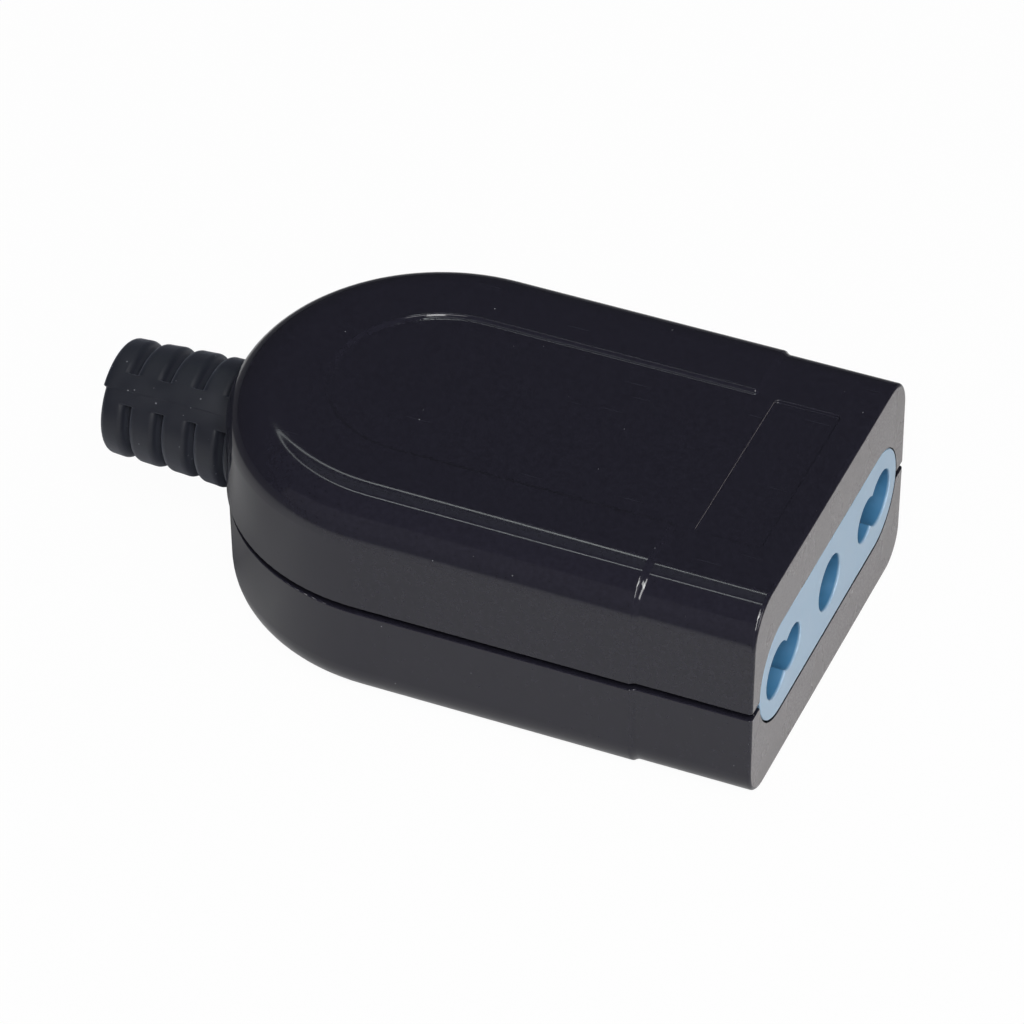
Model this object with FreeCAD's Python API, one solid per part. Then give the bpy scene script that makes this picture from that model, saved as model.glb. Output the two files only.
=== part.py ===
"""In-line power socket: a two-part case, a contact block with a sliding shutter,
three contacts with screw terminals, a cord clamp and a ribbed rubber boot.

Millimetres. X points out of the socket face, Y runs along the row of pin holes, Z is up.
Every piece is drawn with x = 0 on the socket face and z = 0 on the row of pin holes,
and is moved at the end so that the origin lies under the middle of the whole object.
"""
import FreeCAD, Part
import math
import os

from FreeCAD import Vector

X_AXIS = Vector(1, 0, 0)
Y_AXIS = Vector(0, 1, 0)
Z_AXIS = Vector(0, 0, 1)
CENTRE = Vector(0, 0, 0)
SIDES = (-1, 1)

# Working lengths: how far a cutter runs past its work, and how far a rib runs into its wall
OVERSHOOT = 1.0
BITE = 0.5

# Plug pins: two sizes of plug share the outer holes
SMALL_PIN = 4.0
SMALL_PITCH = 19.0
LARGE_PIN = 5.0
LARGE_PITCH = 26.0
PIN_LENGTH = 19.0
PIN_END_ROOM = 1.0
HOLE_CLEARANCE = 0.45
CONTACT_CLEARANCE = 0.1

# Case: a nose and a slightly proud band that wraps the rest, with a half-round back
# that stands a little further in on the lower half
UPPER_HEIGHT = 10.7
LOWER_HEIGHT = 10.9
LOWER_SETBACK = 0.2
BAND_PROUD = 0.28
NOSE_LENGTH = 11.0
BODY_LENGTH = 57.5
DRAFT_DEGREES = 1.0
LONG_EDGE_ROUND = 4.0
LOWER_EDGE_ROUND = 3.3
FACE_ROUND = 0.35
LIP_ROUND = 0.1
STEP_RIM_ROUND = 0.25
STEP_FOOT_ROUND = 0.65
STEP_SINK = 0.1
WALL = 2.0
FRONT_WALL = 2.4
CAVITY_ROUND = 1.0

# Joint between the two halves: an open shadow gap outside, a tongue behind it
GAP_TOP = -0.27
GAP_HEIGHT = 0.68
TONGUE_THICKNESS = 0.95
TONGUE_DEPTH = 1.1
TONGUE_CLEARANCE = 0.1

# Marks on the flats
PANEL_WIDTH = 19.9
PANEL_CORNER = 0.5
LABEL_FRONT = 3.07
LABEL_LENGTH = 6.3
LABEL_WIDTH = 20.0
LABEL_DEPTH = 0.25
LABEL_CORNER = 0.4
LABEL_ROUND = 0.1

# Contact block
FACE_MARGIN = 1.575
FACE_HEIGHT = 10.2
FACE_CLEARANCE = 0.1
FACE_DROP = 0.14
FACE_EDGE_ROUND = 0.1
BLOCK_FLANGE = 1.2
BLOCK_HALF_HEIGHT = 6.5
BLOCK_SIDE_WALL = 0.65
BLOCK_CLEARANCE = 0.2
BLOCK_TAIL = 0.5
SHUTTER_SLOT = 3.6
DIVIDER = 1.2
RIB = 1.2
STOP_CATCH = 1.4
STOP_INSET = 1.0

# Contacts and terminals
CLIP_WALL = 0.7
CLIP_CLEARANCE = 0.2
CLIP_SLIT = 1.2
CLIP_RING = 3.5
SPIGOT = 2.0
SPIGOT_CLEARANCE = 0.03
TERMINAL_LENGTH = 7.0
TERMINAL_TOP = 3.0
TERMINAL_CLEARANCE = 0.45
TERMINAL_CHAMFER = 0.4
WIRE_HOLE = 3.0

# Shutter and its springs
SHUTTER_TRAVEL = 4.7
SHUTTER_CLEARANCE = 0.2
SHUTTER_HEADROOM = 0.1
SHUTTER_PIN_CLEARANCE = 0.025
SHUTTER_BRIDGE_CLEARANCE = 0.125
SHUTTER_BRIDGE = 1.05
SHUTTER_TIP = 0.5
SPRING_WIRE = 0.25
SPRING_OUTSIDE = 1.9
SPRING_TURNS = 8
SPRING_CLEARANCE = 0.4
SPRING_FLOOR = 0.55

# Screws
SCREW_SHANK = 2.9
SCREW_CORE = 2.4
SCREW_HEAD = 5.0
SCREW_HEAD_HEIGHT = 1.8
SCREW_HEAD_ROUND = 0.3
SCREW_SLOT = 0.8
THREAD_CLEARANCE = 0.03
SHANK_CLEARANCE = 0.3
SHANK_SHORT = 0.3
HEAD_CLEARANCE = 0.35
PILOT_END = 0.5
PILLAR_WALL = 0.525
BOSS_WALL = 1.5
CASE_SCREW_GAP = 0.8
CASE_SCREW_SEAT = 4.0
CASE_SCREW_LENGTH = 12.5
TERMINAL_SCREW_LIFT = 0.8
TERMINAL_SCREW_LENGTH = 3.2

# Cord and its clamp
CORD = 7.4
CORD_CLEARANCE = 0.4
CLAMP_INSET = 13.0
CLAMP_WIDTH = 6.0
CLAMP_THICKNESS = 2.8
CLAMP_END_ROUND = 2.9
CLAMP_END_MARGIN = 0.4
CLAMP_PINCH = 0.8
CLAMP_BOSS_GAP = 0.9
CLAMP_SCREW_LENGTH = 8.5
SADDLE_DROP = 1.85

# Boot
BOOT_AXIS = -0.3
BOOT_REACH = 12.8
BOOT_END_WALL = 1.52
BOOT_ROOT_WALL = 2.18
BOOT_SKIN = 0.45
BOOT_HOLE_CLEARANCE = 0.1
BOOT_FLANGE_STEP = 1.9
BOOT_FLANGE = 2.4
BOOT_SEAT_INSET = 4.5
BOOT_PAD_MARGIN = 0.5
BOOT_END_ROUND = 0.7
BOOT_GROOVES = 4
BOOT_GROOVE_PITCH = 3.34
BOOT_END_RIB = 2.67
BOOT_GROOVE_WIDTH = 0.85
BOOT_GROOVE_FLARE = 0.8
BOOT_WEB_DEGREES = 36.0
BOOT_TURN_DEGREES = 131.0

# Radii and places of the pins, contacts and chambers
small_y = SMALL_PITCH / 2
large_y = LARGE_PITCH / 2
outer_contact_y = (small_y + large_y) / 2
small_hole_r = (SMALL_PIN + HOLE_CLEARANCE) / 2
large_hole_r = (LARGE_PIN + HOLE_CLEARANCE) / 2
hole_web = abs(large_y - small_y - small_hole_r - large_hole_r)
face_edge_round = min(FACE_EDGE_ROUND, 0.4 * hole_web)
small_clip_r = (SMALL_PIN + CONTACT_CLEARANCE) / 2
large_clip_r = (LARGE_PIN + CONTACT_CLEARANCE) / 2
chamber_half_height = large_clip_r + CLIP_WALL + CLIP_CLEARANCE
chamber_inner_y = small_y - small_clip_r - CLIP_WALL - CLIP_CLEARANCE
chamber_outer_y = large_y + large_clip_r + CLIP_WALL + CLIP_CLEARANCE
chamber_spans = [
    (-chamber_outer_y, -chamber_inner_y),
    (-chamber_half_height, chamber_half_height),
    (chamber_inner_y, chamber_outer_y),
]

# The case is sized around the block, and the block around the outer chambers
slot_half = chamber_outer_y
block_half = slot_half + BLOCK_SIDE_WALL
cavity_half = block_half + BLOCK_CLEARANCE
core_half = cavity_half + WALL
band_half = core_half + BAND_PROUD
arch_x = band_half - BODY_LENGTH
step_slope = BAND_PROUD + STEP_SINK
# The rounds at the rim and at the foot of the step share the length of its slope
step_rim_round = min(STEP_RIM_ROUND, BAND_PROUD)
step_foot_limit = 0.95 * BAND_PROUD * math.sqrt(2) / math.tan(math.pi / 8) - step_rim_round
step_foot_round = min(STEP_FOOT_ROUND, step_foot_limit)
label_round = min(LABEL_ROUND, 0.45 * LABEL_DEPTH)
ceiling = UPPER_HEIGHT - WALL
floor = WALL - LOWER_HEIGHT
underside = -LOWER_HEIGHT - BAND_PROUD
upper_lip = GAP_TOP
lower_lip = GAP_TOP - GAP_HEIGHT
parting = (upper_lip + lower_lip) / 2
tongue_top = upper_lip + TONGUE_DEPTH

# Lengthwise places, from the face backwards
slot_front = -FRONT_WALL - BLOCK_FLANGE
slot_back = slot_front - SHUTTER_SLOT
chamber_front = slot_back - DIVIDER
clip_front = chamber_front - CLIP_CLEARANCE
spigot_front = -PIN_LENGTH - PIN_END_ROOM
clip_back = spigot_front - SPIGOT
terminal_back = clip_back - TERMINAL_LENGTH
terminal_screw_x = (terminal_back + clip_back) / 2
block_back = terminal_back - BLOCK_TAIL
clamp_x = CLAMP_INSET - BODY_LENGTH
boot_seat_x = BOOT_SEAT_INSET - BODY_LENGTH
boot_end_x = -BODY_LENGTH - BOOT_REACH
rib_y = (chamber_half_height + chamber_inner_y) / 2

# Shutter: its lower edge clears the pin when it is up, its bridge clears the earth pin when it is down,
# and the roof of its room in the upper half leaves it its travel
shutter_front = slot_front - SHUTTER_CLEARANCE
shutter_back = slot_back + SHUTTER_CLEARANCE
shutter_bottom = large_hole_r + SHUTTER_PIN_CLEARANCE - SHUTTER_TRAVEL
shutter_slope_top = shutter_bottom + shutter_front - shutter_back - SHUTTER_TIP
bridge_bottom = large_hole_r + SHUTTER_BRIDGE_CLEARANCE
shutter_top = bridge_bottom + SHUTTER_BRIDGE
shutter_roof = shutter_top + SHUTTER_TRAVEL + SHUTTER_HEADROOM
roof_half = cavity_half - CAVITY_ROUND
spring_x = (slot_front + slot_back) / 2
spring_bottom = shutter_slope_top + SPRING_FLOOR

# Screws, cord and boot
pillar_r = (SCREW_HEAD + HEAD_CLEARANCE) / 2 + PILLAR_WALL
boss_r = SCREW_CORE / 2 + BOSS_WALL
pilot_r = SCREW_CORE / 2 + THREAD_CLEARANCE
shank_hole_r = (SCREW_SHANK + SHANK_CLEARANCE) / 2
band_flat_outer = band_half - LONG_EDGE_ROUND - BAND_PROUD
case_screw_x = block_back - CASE_SCREW_GAP - pillar_r
case_screw_y = (PANEL_WIDTH / 2 + band_flat_outer) / 2
clamp_underside = BOOT_AXIS + CORD / 2 - CLAMP_PINCH
clamp_top = clamp_underside + CLAMP_THICKNESS
clamp_screw_y = CORD / 2 + CLAMP_BOSS_GAP + boss_r
bore_r = (CORD + CORD_CLEARANCE) / 2
boot_end_r = bore_r + BOOT_END_WALL
boot_root_r = bore_r + BOOT_ROOT_WALL
boot_flange_r = boot_root_r + BOOT_FLANGE_STEP


def box(x0, x1, y0, y1, z0, z1):
    """Box between two corners."""
    return Part.makeBox(x1 - x0, y1 - y0, z1 - z0, Vector(x0, y0, z0))


def rod_x(radius, x0, x1, y, z):
    """Round bar along X."""
    return Part.makeCylinder(radius, x1 - x0, Vector(x0, y, z), X_AXIS)


def rod_z(radius, x, y, z0, z1):
    """Round bar along Z."""
    return Part.makeCylinder(radius, z1 - z0, Vector(x, y, z0), Z_AXIS)


def close(a, b):
    """Whether two lengths agree within a hundredth of a millimetre."""
    return abs(a - b) < 0.01


def edges_where(shape, test):
    """Edges whose every vertex passes a test."""
    return [edge for edge in shape.Edges if all(test(v.Point) for v in edge.Vertexes)]


def edges_at_height(shape, z):
    """Edges lying flat at one height."""
    return edges_where(shape, lambda p: close(p.z, z))


def upright_edges(shape):
    """Straight edges that run along Z."""
    return [edge for edge in shape.Edges
            if close(edge.Vertexes[0].X, edge.Vertexes[-1].X)
            and close(edge.Vertexes[0].Y, edge.Vertexes[-1].Y)]


def d_outline(front_x, half_width, z, setback=0.0):
    """Closed D in plan: straight front and sides, half-round back brought forward by the setback."""
    centre_x = arch_x + setback
    near_front = Vector(front_x, -half_width, z)
    far_front = Vector(front_x, half_width, z)
    far_arch = Vector(centre_x, half_width, z)
    back = Vector(centre_x - half_width, 0, z)
    near_arch = Vector(centre_x, -half_width, z)
    return Part.Wire([
        Part.makeLine(near_front, far_front),
        Part.makeLine(far_front, far_arch),
        Part.Arc(far_arch, back, near_arch).toShape(),
        Part.makeLine(near_arch, near_front),
    ])


def d_block(front_x, half_width, low, high, draft_degrees=0.0, setback=0.0):
    """D-shaped block whose sides lean in towards the top by the draft."""
    lean = (high - low) * math.tan(math.radians(draft_degrees))
    bottom = d_outline(front_x, half_width, low, setback)
    top = d_outline(front_x, half_width - lean, high, setback)
    return Part.makeLoft([bottom, top], True, True)


def long_rounded_block(front_x, half_width, lip, high, long_round, setback):
    """Outside block, lip down: long edges rounded, front and lip edges still sharp."""
    block = d_block(front_x, half_width, lip, high, DRAFT_DEGREES, setback)
    front = edges_where(block, lambda p: close(p.x, front_x))
    long_edges = [e for e in edges_at_height(block, high) if not any(e.isSame(f) for f in front)]
    return block.makeFillet(long_round, long_edges)


def panel(top):
    """Arch-ended space inside the band, open to the nose, which fills it up to its own height."""
    half = PANEL_WIDTH / 2
    low = top - BITE
    high = top + BAND_PROUD + OVERSHOOT
    straight = box(arch_x, 0.0, -half, half, low, high)
    return straight.fuse(rod_z(half, arch_x, 0, low, high)).removeSplitter()


def band(top, lip, long_round, setback):
    """Proud band with the arch-ended panel taken out of its flat, and a slope down to panel and nose."""
    face = top + BAND_PROUD
    shape = long_rounded_block(-NOSE_LENGTH, band_half, lip, face, long_round + BAND_PROUD, setback)
    shape = shape.cut(panel(top))
    half = PANEL_WIDTH / 2
    corners = [e for e in upright_edges(shape)
               if close(e.Vertexes[0].X, -NOSE_LENGTH) and close(abs(e.Vertexes[0].Y), half)]
    shape = shape.makeFillet(PANEL_CORNER, corners)
    reach = half + PANEL_CORNER + step_slope + BITE
    rim = edges_where(shape, lambda p: close(p.z, face) and abs(p.y) < reach)
    shape = shape.makeChamfer(step_slope, rim)
    rim = edges_where(shape, lambda p: close(p.z, face) and abs(p.y) < reach)
    return shape.makeFillet(step_rim_round, rim)


def outer_form(top, lip, long_round, setback):
    """Outer form of one half, lip down: nose and band with a soft step between them, all edges broken."""
    nose = long_rounded_block(0.0, core_half, lip, top, long_round, setback)
    shape = nose.fuse(band(top, lip, long_round, setback)).removeSplitter()
    foot = [e for e in edges_at_height(shape, top) if all(v.X < BITE - NOSE_LENGTH for v in e.Vertexes)]
    shape = shape.makeFillet(step_foot_round, foot)
    front = [e for e in edges_where(shape, lambda p: close(p.x, 0.0))
             if not all(close(v.Z, lip) for v in e.Vertexes)]
    shape = shape.makeFillet(FACE_ROUND, front)
    return shape.makeFillet(LIP_ROUND, edges_at_height(shape, lip))


def half_case(top, lip, long_round, setback=0.0):
    """Hollow half of the case, lip down: the outer form and one D-shaped cavity."""
    cavity = d_block(-FRONT_WALL, cavity_half, lip - OVERSHOOT, top - WALL)
    cavity = cavity.makeFillet(CAVITY_ROUND, edges_at_height(cavity, top - WALL))
    return outer_form(top, lip, long_round, setback).cut(cavity)


def lip_ring(thickness, low, high):
    """Ring that follows the inside of the wall all round the joint."""
    outer = d_block(-FRONT_WALL + thickness, cavity_half + thickness, low, high)
    return outer.cut(d_block(-FRONT_WALL, cavity_half, low - OVERSHOOT, high + OVERSHOOT))


def boot_pad(low, high):
    """Flat-faced fill behind the back wall, where the boot's flange sits."""
    reach = boot_flange_r + BOOT_PAD_MARGIN
    pad = box(-BODY_LENGTH, boot_seat_x, -reach, reach, low, high)
    return pad.common(d_block(0.0, cavity_half + BITE, low - OVERSHOOT, high + OVERSHOOT))


def stadium(length, height, x0, x1):
    """Bar along X with a stadium section, long along Y, round at both ends."""
    radius = height / 2
    reach = length / 2 - radius
    bar = box(x0, x1, -reach, reach, -radius, radius)
    for side in SIDES:
        bar = bar.fuse(rod_x(radius, x0, x1, side * reach, 0))
    return bar.removeSplitter()


def face_plate(clearance, x0, x1):
    """Bar with the outline of the socket face, widened by a clearance."""
    length = 2 * (large_y + large_hole_r + FACE_MARGIN + clearance)
    return stadium(length, FACE_HEIGHT + 2 * clearance, x0, x1)


def face_window(drop):
    """Opening in the front wall for the face of the contact block, let down to leave a gap below it."""
    window = face_plate(FACE_CLEARANCE, -FRONT_WALL - OVERSHOOT, OVERSHOOT)
    window.translate(Vector(0, 0, -drop))
    return window


def boot_hole():
    """Opening in the back wall for the neck of the boot."""
    radius = boot_root_r + BOOT_HOLE_CLEARANCE
    return rod_x(radius, -BODY_LENGTH - OVERSHOOT, boot_seat_x + OVERSHOOT, 0, BOOT_AXIS)


def block_ribs(low, high):
    """Two long ribs that hold the contact block between its chambers."""
    ribs = [box(block_back, slot_back - RIB, side * rib_y - RIB / 2, side * rib_y + RIB / 2, low, high)
            for side in SIDES]
    return ribs[0].fuse(ribs[1])


def label_recess():
    """Shallow bare plate on the nose, with rounded corners and a rounded foot."""
    half = LABEL_WIDTH / 2
    low = UPPER_HEIGHT - LABEL_DEPTH
    plate = box(-LABEL_FRONT - LABEL_LENGTH, -LABEL_FRONT, -half, half, low, UPPER_HEIGHT + OVERSHOOT)
    plate = plate.makeFillet(LABEL_CORNER, upright_edges(plate))
    return plate.makeFillet(label_round, edges_at_height(plate, low))


def shutter_room(half, low, high):
    """Part of the room in which the shutter slides, between two heights."""
    return box(slot_back, slot_front, -half, half, low, high)


def upper_shell():
    """Top half of the case: rebate for the tongue, roof over the shutter and blind screw pillars."""
    shell = half_case(UPPER_HEIGHT, upper_lip, LONG_EDGE_ROUND).fuse(boot_pad(parting, ceiling + BITE))
    shell = shell.cut(lip_ring(TONGUE_THICKNESS + TONGUE_CLEARANCE, upper_lip - OVERSHOOT, tongue_top))
    shell = shell.fuse(block_ribs(BLOCK_HALF_HEIGHT, ceiling + BITE))
    shell = shell.fuse(shutter_room(roof_half, shutter_roof, max(ceiling, shutter_roof) + BITE))
    shell = shell.cut(shutter_room(roof_half, BLOCK_HALF_HEIGHT, shutter_roof))
    for side in SIDES:
        y = side * case_screw_y
        shell = shell.fuse(rod_z(pillar_r, case_screw_x, y, parting, ceiling + BITE))
        shell = shell.cut(rod_z(pilot_r, case_screw_x, y, parting - OVERSHOOT, ceiling - PILOT_END))
    shell = shell.cut(face_window(0.0)).cut(boot_hole()).cut(label_recess()).removeSplitter()
    rim = edges_where(shell, lambda p: close(p.z, UPPER_HEIGHT) and abs(p.y) < LABEL_WIDTH / 2 + BITE
                      and -LABEL_LENGTH - BITE < p.x + LABEL_FRONT < BITE)
    return shell.makeFillet(label_round, rim)


def cord_saddle():
    """Two cross ribs under the clamp, hollowed to the cord."""
    reach = CLAMP_WIDTH / 2 - RIB
    ribs = [box(clamp_x + side * reach - RIB / 2, clamp_x + side * reach + RIB / 2,
                -clamp_screw_y, clamp_screw_y, floor - BITE, BOOT_AXIS - SADDLE_DROP) for side in SIDES]
    cord = rod_x(CORD / 2, clamp_x - CLAMP_WIDTH, clamp_x + CLAMP_WIDTH, 0, BOOT_AXIS)
    return ribs[0].fuse(ribs[1]).cut(cord)


def block_stop():
    """Cross rib behind the contact block and the feet of the terminals."""
    reach = block_half - STOP_INSET
    return box(block_back - RIB, block_back, -reach, reach, floor - BITE, STOP_CATCH - chamber_half_height)


def lower_shell():
    """Bottom half of the case, with the tongue, screw pillars, clamp bosses and saddle."""
    shell = half_case(LOWER_HEIGHT, -lower_lip, LOWER_EDGE_ROUND, LOWER_SETBACK).mirror(CENTRE, Z_AXIS)
    shell = shell.fuse(lip_ring(TONGUE_THICKNESS, lower_lip - BITE, tongue_top))
    shell = shell.fuse(boot_pad(floor - BITE, parting))
    shell = shell.fuse(block_ribs(floor - BITE, -BLOCK_HALF_HEIGHT))
    shell = shell.fuse(block_stop()).fuse(cord_saddle())
    head_hole_r = (SCREW_HEAD + HEAD_CLEARANCE) / 2
    seat = underside + CASE_SCREW_SEAT
    for side in SIDES:
        y = side * case_screw_y
        shell = shell.fuse(rod_z(pillar_r, case_screw_x, y, floor - BITE, parting))
        shell = shell.cut(rod_z(shank_hole_r, case_screw_x, y, underside - OVERSHOOT, parting + OVERSHOOT))
        shell = shell.cut(rod_z(head_hole_r, case_screw_x, y, underside - OVERSHOOT, seat))
        y = side * clamp_screw_y
        shell = shell.fuse(rod_z(boss_r, clamp_x, y, floor - BITE, clamp_underside))
        shell = shell.cut(rod_z(pilot_r, clamp_x, y, floor + PILOT_END, clamp_underside + OVERSHOOT))
    return shell.cut(face_window(FACE_DROP)).cut(boot_hole()).removeSplitter()


def keyhole(side, small_r, large_r, x0, x1):
    """Bar along X whose section is the two overlapping circles of one outer hole."""
    return rod_x(small_r, x0, x1, side * small_y, 0).fuse(rod_x(large_r, x0, x1, side * large_y, 0))


def pin_holes(x0, x1):
    """The three holes of the socket face as bars along X."""
    holes = rod_x(large_hole_r, x0, x1, 0, 0)
    for side in SIDES:
        holes = holes.fuse(keyhole(side, small_hole_r, large_hole_r, x0, x1))
    return holes


def contact_block():
    """Insulating block: socket face, shutter slot, contact chambers and terminal bays."""
    high = BLOCK_HALF_HEIGHT
    low = -chamber_half_height
    block = box(block_back, -FRONT_WALL, -block_half, block_half, -high, high)
    block = block.fuse(face_plate(0.0, -FRONT_WALL - BITE, 0.0))
    block = block.cut(shutter_room(slot_half, low, high + OVERSHOOT))
    block = block.cut(pin_holes(chamber_front - OVERSHOOT, OVERSHOOT))
    for y0, y1 in chamber_spans:
        block = block.cut(box(clip_back, chamber_front, y0, y1, low, chamber_half_height))
        block = block.cut(box(block_back - OVERSHOOT, clip_back, y0, y1, low, high + OVERSHOOT))
    block = block.removeSplitter()
    return block.makeFillet(face_edge_round, edges_where(block, lambda p: close(p.x, 0.0)))


def slit_tube(outside, inside):
    """Sprung tube from its outer and inner bars, slit along both edges except at its back ring."""
    slit = box(clip_back + CLIP_RING, clip_front + OVERSHOOT, -block_half, block_half,
               -CLIP_SLIT / 2, CLIP_SLIT / 2)
    return outside.cut(inside).cut(slit).removeSplitter()


def outer_clip(side):
    """Contact tube for either size of outer pin."""
    outside = keyhole(side, small_clip_r + CLIP_WALL, large_clip_r + CLIP_WALL, clip_back, clip_front)
    inside = keyhole(side, small_clip_r, large_clip_r, clip_back - OVERSHOOT, clip_front + OVERSHOOT)
    return slit_tube(outside, inside)


def earth_clip():
    """Contact tube for the earth pin."""
    outside = rod_x(large_clip_r + CLIP_WALL, clip_back, clip_front, 0, 0)
    inside = rod_x(large_clip_r, clip_back - OVERSHOOT, clip_front + OVERSHOOT, 0, 0)
    return slit_tube(outside, inside)


def terminal(span, spigot):
    """Brass block in one bay: spigot in the contact's ring, wire hole and screw hole."""
    y0, y1 = span
    middle = (y0 + y1) / 2
    block = box(terminal_back, clip_back, y0 + TERMINAL_CLEARANCE, y1 - TERMINAL_CLEARANCE,
                -chamber_half_height, TERMINAL_TOP)
    block = block.makeChamfer(TERMINAL_CHAMFER, edges_at_height(block, TERMINAL_TOP)).fuse(spigot)
    block = block.cut(rod_x(WIRE_HOLE / 2, terminal_back - OVERSHOOT, clip_back - OVERSHOOT, middle, 0))
    screw_r = SCREW_SHANK / 2 + THREAD_CLEARANCE
    screw_hole = rod_z(screw_r, terminal_screw_x, middle, 0, TERMINAL_TOP + OVERSHOOT)
    return block.cut(screw_hole).removeSplitter()


def outer_terminal(side):
    """Terminal of one outer contact."""
    gap = SPIGOT_CLEARANCE
    spigot = keyhole(side, small_clip_r - gap, large_clip_r - gap, clip_back, spigot_front)
    return terminal(chamber_spans[1 + side], spigot)


def earth_terminal():
    """Terminal of the earth contact."""
    return terminal(chamber_spans[1], rod_x(large_clip_r - SPIGOT_CLEARANCE, clip_back, spigot_front, 0, 0))


def slotted_screw(x, y, seat, length, shank_length):
    """Cheese-head screw pointing down from its seat: a full shank, then the narrower core of its thread."""
    top = seat + SCREW_HEAD_HEIGHT
    head = rod_z(SCREW_HEAD / 2, x, y, seat, top)
    head = head.makeFillet(SCREW_HEAD_ROUND, edges_at_height(head, top))
    head = head.cut(box(x - SCREW_HEAD, x + SCREW_HEAD, y - SCREW_SLOT / 2, y + SCREW_SLOT / 2,
                        seat + SCREW_HEAD_HEIGHT / 2, top + OVERSHOOT))
    screw = head.fuse(rod_z(SCREW_SHANK / 2, x, y, seat - shank_length, seat))
    if length > shank_length:
        screw = screw.fuse(rod_z(SCREW_CORE / 2, x, y, seat - length, seat))
    return screw.removeSplitter()


def terminal_screws():
    """One screw down into each terminal, backed off for the wire."""
    seat = TERMINAL_TOP + TERMINAL_SCREW_LIFT
    return Part.makeCompound([
        slotted_screw(terminal_screw_x, (y0 + y1) / 2, seat, TERMINAL_SCREW_LENGTH, TERMINAL_SCREW_LENGTH)
        for y0, y1 in chamber_spans])


def case_screws():
    """Two screws up through the lower half into the pillars of the upper half."""
    seat = -underside - CASE_SCREW_SEAT
    shank_length = seat + parting - SHANK_SHORT
    screws = [slotted_screw(case_screw_x, side * case_screw_y, seat, CASE_SCREW_LENGTH, shank_length)
              for side in SIDES]
    return Part.makeCompound(screws).mirror(CENTRE, Z_AXIS)


def cord_clamp():
    """Bar over the cord with a shallow hollow below and two screw holes."""
    half_length = clamp_screw_y + SCREW_HEAD / 2 + CLAMP_END_MARGIN
    bar = box(clamp_x - CLAMP_WIDTH / 2, clamp_x + CLAMP_WIDTH / 2, -half_length, half_length,
              clamp_underside, clamp_top)
    bar = bar.makeFillet(min(CLAMP_END_ROUND, 0.49 * CLAMP_WIDTH), upright_edges(bar))
    bar = bar.cut(rod_x(CORD / 2, clamp_x - CLAMP_WIDTH, clamp_x + CLAMP_WIDTH, 0, BOOT_AXIS))
    for side in SIDES:
        bar = bar.cut(rod_z(shank_hole_r, clamp_x, side * clamp_screw_y, clamp_underside - OVERSHOOT,
                            clamp_top + OVERSHOOT))
    return bar


def clamp_screws():
    """Two screws down through the clamp bar into the bosses of the lower half."""
    shank_length = CLAMP_THICKNESS - SHANK_SHORT
    return Part.makeCompound([
        slotted_screw(clamp_x, side * clamp_screw_y, clamp_top, CLAMP_SCREW_LENGTH, shank_length)
        for side in SIDES])


def shutter_flap(side):
    """Flap behind one outer hole: its front face slopes back so that a pin lifts it."""
    outline = [
        (shutter_back, shutter_bottom), (shutter_back + SHUTTER_TIP, shutter_bottom),
        (shutter_front, shutter_slope_top), (shutter_front, shutter_top),
        (shutter_back, shutter_top), (shutter_back, shutter_bottom),
    ]
    outer = slot_half - SHUTTER_CLEARANCE
    profile = Part.makePolygon([Vector(x, chamber_inner_y, z) for x, z in outline])
    flap = Part.Face(profile).extrude(Vector(0, outer - chamber_inner_y, 0))
    pocket_r = (SPRING_OUTSIDE + SPRING_CLEARANCE) / 2
    flap = flap.cut(rod_z(pocket_r, spring_x, outer_contact_y, spring_bottom, shutter_top + OVERSHOOT))
    return flap if side > 0 else flap.mirror(CENTRE, Y_AXIS)


def shutter():
    """Both flaps joined by a bridge that clears the earth pin."""
    reach = chamber_inner_y + BITE
    bridge = box(shutter_back, shutter_front, -reach, reach, bridge_bottom, shutter_top)
    return bridge.fuse(shutter_flap(-1)).fuse(shutter_flap(1)).removeSplitter()


def shutter_springs():
    """Two coil springs between the pocket floors and the roof of the shutter's room."""
    radius = (SPRING_OUTSIDE - SPRING_WIRE) / 2
    height = shutter_roof - spring_bottom - SPRING_WIRE
    springs = []
    for side in SIDES:
        path = Part.Wire(Part.makeHelix(height / SPRING_TURNS, height, radius).Edges)
        section = Part.Wire([Part.makeCircle(SPRING_WIRE / 2, Vector(radius, 0, 0), Y_AXIS)])
        coil = path.makePipeShell([section], True, True)
        coil.translate(Vector(spring_x, side * outer_contact_y, spring_bottom + SPRING_WIRE / 2))
        springs.append(coil)
    return Part.makeCompound(springs)


def boot_radius(x):
    """Outside radius of the boot: even taper outside the case, straight neck inside it."""
    along = max(0.0, -BODY_LENGTH - x) / BOOT_REACH
    return boot_root_r + (boot_end_r - boot_root_r) * along


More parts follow.
